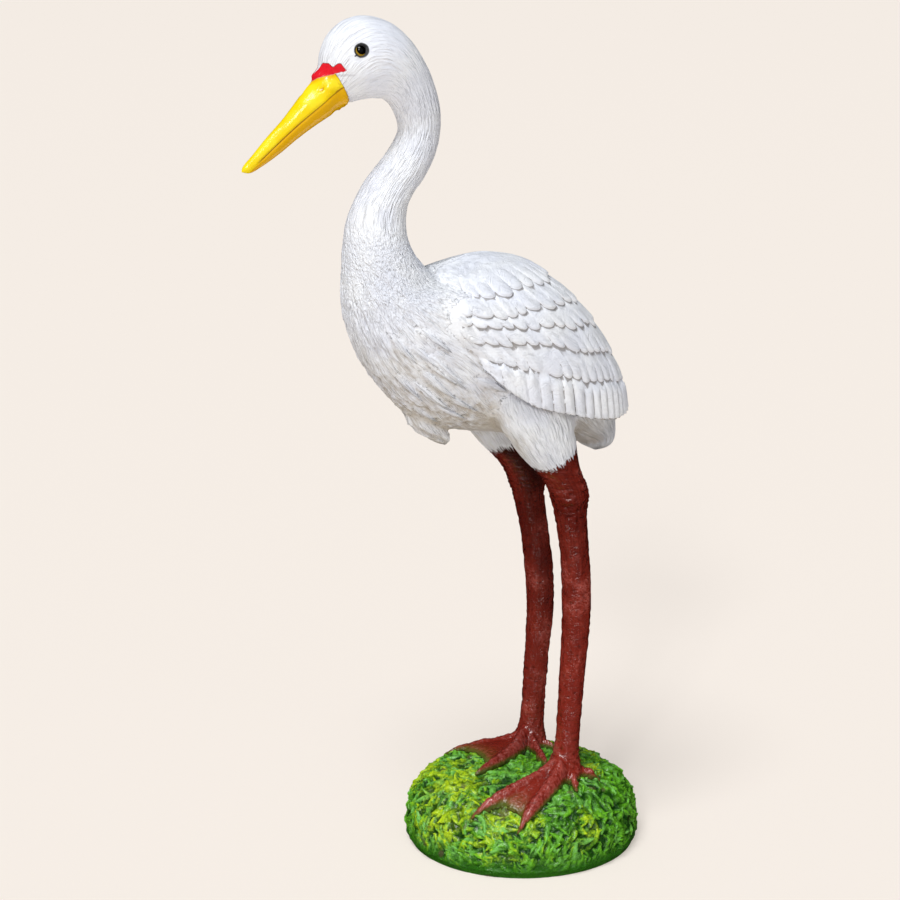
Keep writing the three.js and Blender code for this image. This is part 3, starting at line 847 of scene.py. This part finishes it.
points, ends = points_of(stork) / MM, read(stork.data.edges, "vertices", 2, np.int32)
melt = stored_on(stork, "melt")
known, new = np.flatnonzero(melt > 0), np.flatnonzero(melt == 0)
tree = tree_of(points[known])
nearest = known[[tree.find(p)[1] for p in points[new]]]
for name, width in CARVED.items():
    values = stored_on(stork, name, width)
    values[new] = values[nearest]
    store(stork, name, values)
reach = np.full(len(points), 99.0)
for start, end in (ends.T, ends[:, ::-1].T):
    joined = (melt[start] == 0) & (melt[end] > 0)
    np.minimum.at(reach, start[joined], melt[end[joined]])
reach = np.where(reach > 90, melt[known[0]], reach)[new]
crease = tree_of(points[new])
found = [crease.find(p) for p in points]
away, at_join = np.array([f[2] for f in found]), np.array([f[1] for f in found])
soft = np.clip(1.3 * (1 - away / reach[at_join]), 0, 1)
for rounds, least in MELTING:
    points = relax(points, ends, soft * (reach[at_join] > least), rounds)
set_points(stork, points * MM)


def carve(piece):
    """Cuts the strokes, plumes, wrinkles and scales, by the kind of carving that each form carries."""
    points, out = points_of(piece) / MM, normals_of(piece)
    flow, kind, depth = (stored_on(piece, name, width) for name, width in CARVED.items())
    bend = np.stack([noise(points / 21 + 9), noise(points / 21 + 31), 0 * kind], 1)
    fine = 1 - 2 * np.abs(noise(flow / STROKE.fine + 1.3 * bend))
    broad = noise(flow / STROKE.broad + bend + 5)
    plumage = 0.75 * fine + 0.8 * broad - 0.3
    clots = 1.6 * noise(points / 8.5) + 1.2 * (1 - 2 * np.abs(noise(points / (9, 6, 7) + 3))) - 0.7
    curls = 1 - 2 * np.abs(noise(flow / (9, 9, 4.2) + 1.2 * bend))
    wrinkles = 1.1 * curls + 0.5 * noise(points / 5) + 0.5 * noise(flow / (3, 3, 30) + 7) - 0.4
    knee = KNEE_FOLDS.height * np.exp(-((points[:, 2] - KNEE_FOLDS.up) / KNEE_FOLDS.reach) ** 2)
    wrinkles += knee * (0.7 - 2 * np.abs(noise(flow / KNEE_FOLDS.pace + 0.5 * bend + 3)))
    scales = 0.6 * noise(points / 5) + 0.7 * (1 - 2 * np.abs(noise(points / 4 + 17))) - 0.2
    barbs = 0.5 * noise(points / 5)
    kinds = (0.4 * noise(points / 12), plumage, clots, wrinkles, scales, barbs)
    weights = [np.clip(1 - np.abs(kind - k), 0, 1) for k in range(len(kinds))]
    height = sum(w * k for w, k in zip(weights, kinds)) * depth
    height -= np.where(kind < 0.5, bill_cuts(points) * ramp(np.abs(out[:, 0]), 0.3, 0.7), 0)
    set_points(piece, (points + out * height[:, None]) * MM)


carve(stork)


def eye_frame(side):
    """Where an eye sits and which way it looks."""
    centre = Vector((side * EYE.left, -EYE.ahead, EYE.up))
    across, back, up = EYE.look
    return centre, Vector((side * across, back, up)).normalized()


for side in (1, -1):
    centre, look = eye_frame(side)
    turn = look.to_track_quat("Z", "Y").to_matrix().to_4x4()
    seat = Matrix.Translation((centre + look * LID.out) * MM) @ turn
    bpy.ops.mesh.primitive_torus_add(major_segments=72, minor_segments=20,
                                     major_radius=LID.ring * MM, minor_radius=LID.thickness * MM)
    lid = bpy.context.object
    lid.data.transform(seat)
    for name, width in (*CARVED.items(), ("melt", 1)):
        store(lid, name, np.zeros((len(lid.data.vertices), width)).squeeze())
    combine(stork, lid)
    bpy.ops.mesh.primitive_ico_sphere_add(subdivisions=5, radius=(EYE.radius + EYE.play) * MM)
    socket = bpy.context.object
    socket.data.transform(Matrix.Translation(centre * MM))
    combine(stork, socket, "DIFFERENCE")

cutter = mound.copy()
cutter.data = mound.data.copy()
bpy.context.collection.objects.link(cutter)
set_points(cutter, points_of(cutter) + normals_of(cutter) * GROUND_GAP * MM)
combine(stork, cutter, "DIFFERENCE")

thin_out(stork, most=198000)
set_points(stork, np.clip(points_of(stork), *np.array(cad_box)))
points, ends, out = points_of(stork) / MM, read(stork.data.edges, "vertices", 2, np.int32), normals_of(stork)
everywhere = np.ones(len(points))
# Measures for the paint: how hollow each point lies, near and wide, how far its surroundings face down and
# whether it lies below the wings.
near_hollow, wide_hollow = (((relax(points, ends, everywhere, n) - points) * out).sum(1) for n in (4, 40))
facing_down = ramp(-relax(out, ends, everywhere, 12)[:, 2], -0.1, 0.8)
shaded_underside = facing_down * ramp(points[:, 2], 380, 430) * (1 - ramp(points[:, 2], 600, 720))
under_wing = (1 - ramp(points[:, 2], 430, 540)) * (1 - ramp(np.abs(points[:, 0]), 52, 66))
above_ground = points[:, 2] - mound_up(points[:, 0], points[:, 1])
flows = stored_on(stork, "flow", 3)
jump, length = (np.linalg.norm(rows[ends[:, 0]] - rows[ends[:, 1]], axis=1) for rows in (flows, points))
broken = np.zeros(len(points))
broken[ends[jump > 4 * length + 2]] = 1
broken = np.maximum(broken, relax(broken[:, None], ends, everywhere, 2)[:, 0])
store(stork, "stroked", 1 - broken)
store(stork, "recess", near_hollow)
# The beige wash, partly real paint and partly painted shade: darker in the hollows, on the undersides and
# below the wings.
wash_and_shade = WASH_AND_SHADE.wide * wide_hollow + WASH_AND_SHADE.near * near_hollow
store(stork, "wash_and_shade", wash_and_shade + WASH_AND_SHADE.below * shaded_underside + WASH_AND_SHADE.under_wing * under_wing)
store(stork, "stain", 1 - ramp(above_ground, 2.5, 6.5))

# The stork's paint: satin white with a beige wash left in the recesses, deepened as painted shade in the
# hollows, under the belly and below the wings; red-brown legs with a brushed collar, yellow bill, red patch
# over the bill and a thin dark rim round the eyes. Painted shade darkens the grooves of the strokes, the
# inner sides of the legs and the recesses of the wings, bill and legs. Pink on the curls of the legs is
# painted highlight, pink on the toe ridges is dry-brushing and painted highlight, and green from the mound
# stains the toes.
BORDER = Sizes(top=779.5, rise=0.456, back=205, back_up=785, slope=0.65, least_ahead=184, least_up=690)
PATCH = Sizes(top=796, notch_left=15.8, notch=3.0, near_round=7, near_drop=10, far_round=20, far_left=22.5,
              least_ahead=186)
GAPE = Sizes(up=785.2, back=190, front=205, half_height=0.9)
RIM = Sizes(radius=6.9, duct_ahead=191.6, duct_drop=4.5)
COLLAR = Sizes(up=402.5, climb=17, front=6, back=-30, spikes=26.4, tail=-45, middle=39, inner_rise=0.42,
              inner_reach=17)
LEG_TOP = 380

coat = Finish("stork_paint", Specular_IOR_Level=0.42, Coat_Roughness=0.14)
spot, (side, ahead, up) = coat.place(), coat.where()
recess, wash_and_shade, stroked, stain = (coat.stored(name) for name in ("recess", "wash_and_shade", "stroked", "stain"))
on_wing = coat.stored("carving").step(BARBED - 0.7, BARBED - 0.2)
wobble = coat.grain(spot, 300, 2) - 0.5
cloud = coat.grain(spot, 26, 3)


def strokes(factors, *kind):
    """Grain drawn out along the way the carved strokes flow."""
    return coat.grain(coat.scaled(coat.stored("flow", output=1), factors), 1, *kind)


fuzz = (0.28 + 0.4 * coat.grain(spot, 300, 3)) * (1 - stroked)
strand = (1 - 2.6 * (strokes((0.3, 0.3, 0.035), 1) - 0.5).size()) * stroked + fuzz * 1.2
hair = strokes((0.75, 0.75, 0.06), 2) * stroked + fuzz

white = coat.blend(cloud.step(0.35, 0.65), rgb(236, 239, 248), rgb(246, 248, 252))
# Painted shade: grey in the grooves between the carved strokes, less on the head and wings.
stroke_groove_shade = (0.62 - strand + 0.5 * (0.5 - hair)).step(0, 0.5)
stroke_groove_shade = stroke_groove_shade * (0.6 - up.step(740, 820) * 0.3 - on_wing * 0.54)
white = white.covered(stroke_groove_shade, rgb(184, 184, 195))
# Painted shadow: grey lines in the wing's recesses under the feather tips.
white = white.covered((recess * 2).step(0.3, 1.2) * on_wing * 0.75, rgb(150, 146, 146))
# Beige: partly a real wash in the recesses, partly painted shade in the hollows, under the belly and below
# the wings.
beige = (wash_and_shade + 0.5 * (cloud - 0.5) + 0.35 * (0.6 - strand) + 0.5 * (hair - 0.5)).step(0.1, 1.5)
white = white.covered(beige * (0.75 - on_wing * 0.5), rgb(172, 156, 130))

below_edge = BORDER.top + side * BORDER.rise - up + 1.8 * wobble
before_edge = ahead - BORDER.back - (up - BORDER.back_up) * BORDER.slope + 1.5 * wobble
in_front = (ahead - BORDER.least_ahead).low(up - BORDER.least_up)
on_bill = below_edge.low(before_edge).low(in_front).step(-0.4, 0.5)
along, under = from_slit(ahead, up)
under = under + SLIT.sag * (along * (pi / SLIT_LENGTH)).wave()
yellow = coat.blend(coat.grain(spot, 60, 2).step(0.3, 0.7), rgb(250, 214, 0), rgb(252, 226, 32))
yellow = yellow.covered(under.step(0, 1) * 0.95, rgb(234, 176, 0))
yellow = yellow.covered((1 - below_edge.step(1.5, 5.5)) * 0.7, rgb(240, 176, 8))
mouth = (0.5 - (under - 0.2).size()).step(-0.3, 0.3) * along.step(-4, 3)
yellow = yellow.covered(mouth * (1 - along.step(100, 112)) * 0.8, rgb(150, 96, 4))
# Painted shade: darker ochre in the recesses of the bill.
yellow = yellow.covered((recess * 2.2 - 0.35).step(0, 0.8) * 0.7, rgb(180, 118, 6))
paint = white.covered(on_bill, yellow)

notch = PATCH.notch * (1 - ((side - PATCH.notch_left) / 4).size().step(0, 1))
near_fall = (1 - side / PATCH.near_round).high(0) ** 2 * PATCH.near_drop
far_fall = ((side - PATCH.far_round) / 2.4).high(0) ** 2 * 5
patch = (PATCH.top - notch - near_fall - far_fall - up + 1.2 * wobble).low(0.4 - below_edge)
patch = patch.low(PATCH.far_left - side + 1.2 * wobble).low(ahead - PATCH.least_ahead)
patch = patch.step(-0.4, 0.5)
red = coat.blend(wobble + cloud, rgb(206, 10, 26), rgb(236, 40, 54))
paint = paint.covered(patch * (1 - on_bill), red)

gape = (GAPE.half_height - (up - GAPE.up + 1.5 * wobble).size()).step(-0.6, 0.5)
gape = gape * ahead.step(GAPE.back - 2, GAPE.back + 2) * (1 - on_bill) * side.step(15, 17)
paint = paint.covered(gape * (1 - ahead.step(GAPE.front, GAPE.front + 2)) * 0.3, rgb(150, 140, 146))


def on_eye(side, ahead, up):
    """How far places are across and above the middle of the left eye, seen along its look."""
    centre, look = eye_frame(1)
    across = look.cross(Vector((0, 0, 1))).normalized()
    x, y, z = side - centre.x, 0 - ahead - centre.y, up - centre.z
    return [axis.x * x + axis.y * y + axis.z * z for axis in (across, across.cross(look))]


from_eye = sum(off ** 2 for off in on_eye(side, ahead, up)) ** 0.5
duct_run = (ahead - EYE.ahead) / (RIM.duct_ahead - EYE.ahead)
duct = 1 - (up - EYE.up + duct_run * RIM.duct_drop).size().step(0.3, 1.2)
duct = duct * duct_run.step(0.5, 0.8) * (1 - duct_run.step(0.85, 1))
rim = 1 - (from_eye + 0.6 * wobble).step(RIM.radius - 0.5, RIM.radius + 0.4)
paint = paint.covered((rim + duct).low(1) * side.step(20, 22) * 0.95, rgb(8, 6, 8))

collar = COLLAR.up + COLLAR.climb * ahead.step(COLLAR.front, COLLAR.back)
collar = collar + COLLAR.inner_rise * (COLLAR.middle - side).high(0).low(COLLAR.inner_reach)
collar = collar + COLLAR.spikes * (strokes((0.6, 0.6, 0.02), 2) - 0.5)
on_leg = (collar - up).low((ahead - COLLAR.tail).high(LEG_TOP - up)).step(-0.5, 0.5)
curl = 1 - 3 * (strokes((0.12, 0.12, 0.22), 2, 0.5, 1.5) - 0.5).size()
russet = coat.blend(up.step(60, 400), rgb(128, 36, 26), rgb(88, 19, 11))
russet = russet.covered((cloud * 0.9 + hair * 0.5).step(0.5, 0.9) * 0.5, rgb(150, 50, 34))
# Painted shade: dark red-brown in the wrinkles of the legs and feet.
russet = russet.covered((recess * 1.6).step(0.1, 1.1) * 0.6, rgb(58, 12, 8))
# Painted highlight: pink on the curls of the legs, where glints of gloss fall.
painted_highlight = curl.step(0.55, 0.95) * (cloud + wobble * 0.3).step(0.5, 0.68) * stroked
russet = russet.covered(painted_highlight * 0.42, rgb(196, 104, 94))
# Painted shade: dark brown on the inner sides of the legs, between them and up under the belly.
shade_between_legs = (36 - side).step(0, 11) * (0.45 + 0.45 * up.step(340, 395)) * up.step(70, 110)
russet = russet.covered(shade_between_legs, rgb(44, 14, 10))
# Pink on the raised ridges of the toes: partly dry-brushing, partly a painted highlight.
ridge_pink_and_highlight = (0.35 - recess * 2.6 + 0.8 * wobble).step(0.35, 1.2)
russet = russet.covered(ridge_pink_and_highlight * (1 - up.step(75, 120)) * 0.5, rgb(180, 84, 76))
russet = russet.covered(stain * (0.5 + cloud * 0.6), rgb(66, 96, 30))
coat.drive("Base Color", paint.covered(on_leg, russet))

bare = on_bill.high(patch)
coat.drive("Coat Weight", on_leg * (0.6 - stain * 1.2).high(0) + on_bill * 0.15)
coat.drive("Roughness", 0.5 - on_leg.high(bare) * 0.3 + 0.16 * (coat.grain(spot, 90) - 0.5))
plain = 1 - 0.93 * bare - 0.95 * on_leg - 0.66 * on_wing - 0.2 * up.step(730, 790) * (1 - bare)
pores = (0.06 + 0.1 * on_wing) * coat.grain(spot, 420, 2)
coat.bump((strand * 0.6 + hair) * plain + 0.3 * curl * on_leg * stroked + pores)
stork.data.materials.clear()
stork.data.materials.append(coat.material)
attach(stork, "root")
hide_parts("stork")

# The eyes: two glass balls pushed into the sockets of the casting behind its lids, one on each side of the
# head. Each is painted behind with a black pupil and an amber iris.
PUPIL, PUPIL_UP, IRIS_EDGE = 4.7, 0.7, 5.6
glass = Finish("eye_glass", Roughness=0.06, Specular_IOR_Level=0.25)
sideways, upwards = on_eye(*glass.where())
from_middle = (sideways ** 2 + upwards ** 2) ** 0.5
from_pupil = (sideways ** 2 + (upwards - PUPIL_UP) ** 2) ** 0.5
amber = glass.blend(glass.grain(glass.place(), 900, 2), rgb(120, 92, 20), rgb(186, 150, 48))
iris = glass.blend(from_pupil.step(PUPIL - 0.3, PUPIL + 0.2), rgb(3, 3, 4), amber)
glass.drive("Base Color", iris.covered(from_middle.step(IRIS_EDGE - 0.2, IRIS_EDGE + 0.2), rgb(10, 8, 9)))
for side, name in ((1, "eye_left"), (-1, "eye_right")):
    bpy.ops.mesh.primitive_uv_sphere_add(segments=48, ring_count=32, radius=EYE.radius * MM)
    eye = bpy.context.object
    eye.name = "glass_" + name
    eye.data.transform(Matrix.Translation(eye_frame(side)[0] * MM))
    bpy.ops.object.shade_smooth()
    eye.data.materials.append(glass.material)
    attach(eye, "root")
    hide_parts(name)

# The studio: a pale floor that glows a little, a weak even sky and three suns: a soft key light from the
# upper left, a broad fill and a small one for the glints. The camera stands at the photograph's angle.
# A sun is its name, strength, width in degrees and the way that it shines.
SUNS = [
    ("key", 2.16, 26, (-0.34, 0.42, -1.0)), ("fill", 0.3, 70, (-0.95, 0.25, -0.35)),
    ("glint", 0.85, 9, (-0.71, 0.61, -0.5)),
]
FLOOR_GLOW, SKY_GLOW = 0.515, 0.2
CAMERA = Sizes(place=(1.74468, -0.89651, 0.85528), down=12.7697, round=65, lens=80)

bpy.ops.mesh.primitive_plane_add(size=3000)
floor = bpy.context.object
floor.name = "pale_floor"
backdrop = Finish("floor_paint", Roughness=0.9, Specular_IOR_Level=0.1, Base_Color=rgb(186, 179, 172),
                  Emission_Color=rgb(246, 236, 226), Emission_Strength=FLOOR_GLOW)
floor.data.materials.append(backdrop.material)
floor.visible_glossy = False

sky = bpy.data.worlds.new("studio")
sky.use_nodes = True
back = sky.node_tree.nodes["Background"]
back.inputs[0].default_value = (0.82, 0.9, 1.0, 1)
back.inputs[1].default_value = SKY_GLOW
sky.cycles_visibility.glossy = False
bpy.context.scene.world = sky
bpy.context.scene.view_settings.view_transform = "Standard"

for name, energy, width, toward in SUNS:
    bpy.ops.object.light_add(type="SUN")
    light = bpy.context.object
    light.name = name
    light.data.energy, light.data.angle, light.data.color = energy, radians(width), (0.98, 0.99, 1.0)
    light.rotation_euler = Vector(toward).to_track_quat("-Z", "Y").to_euler()

turned = radians(90 - CAMERA.down), 0, radians(CAMERA.round)
bpy.ops.object.camera_add(location=CAMERA.place, rotation=turned)
camera = bpy.context.object
camera.data.lens = CAMERA.lens
bpy.context.scene.camera = camera
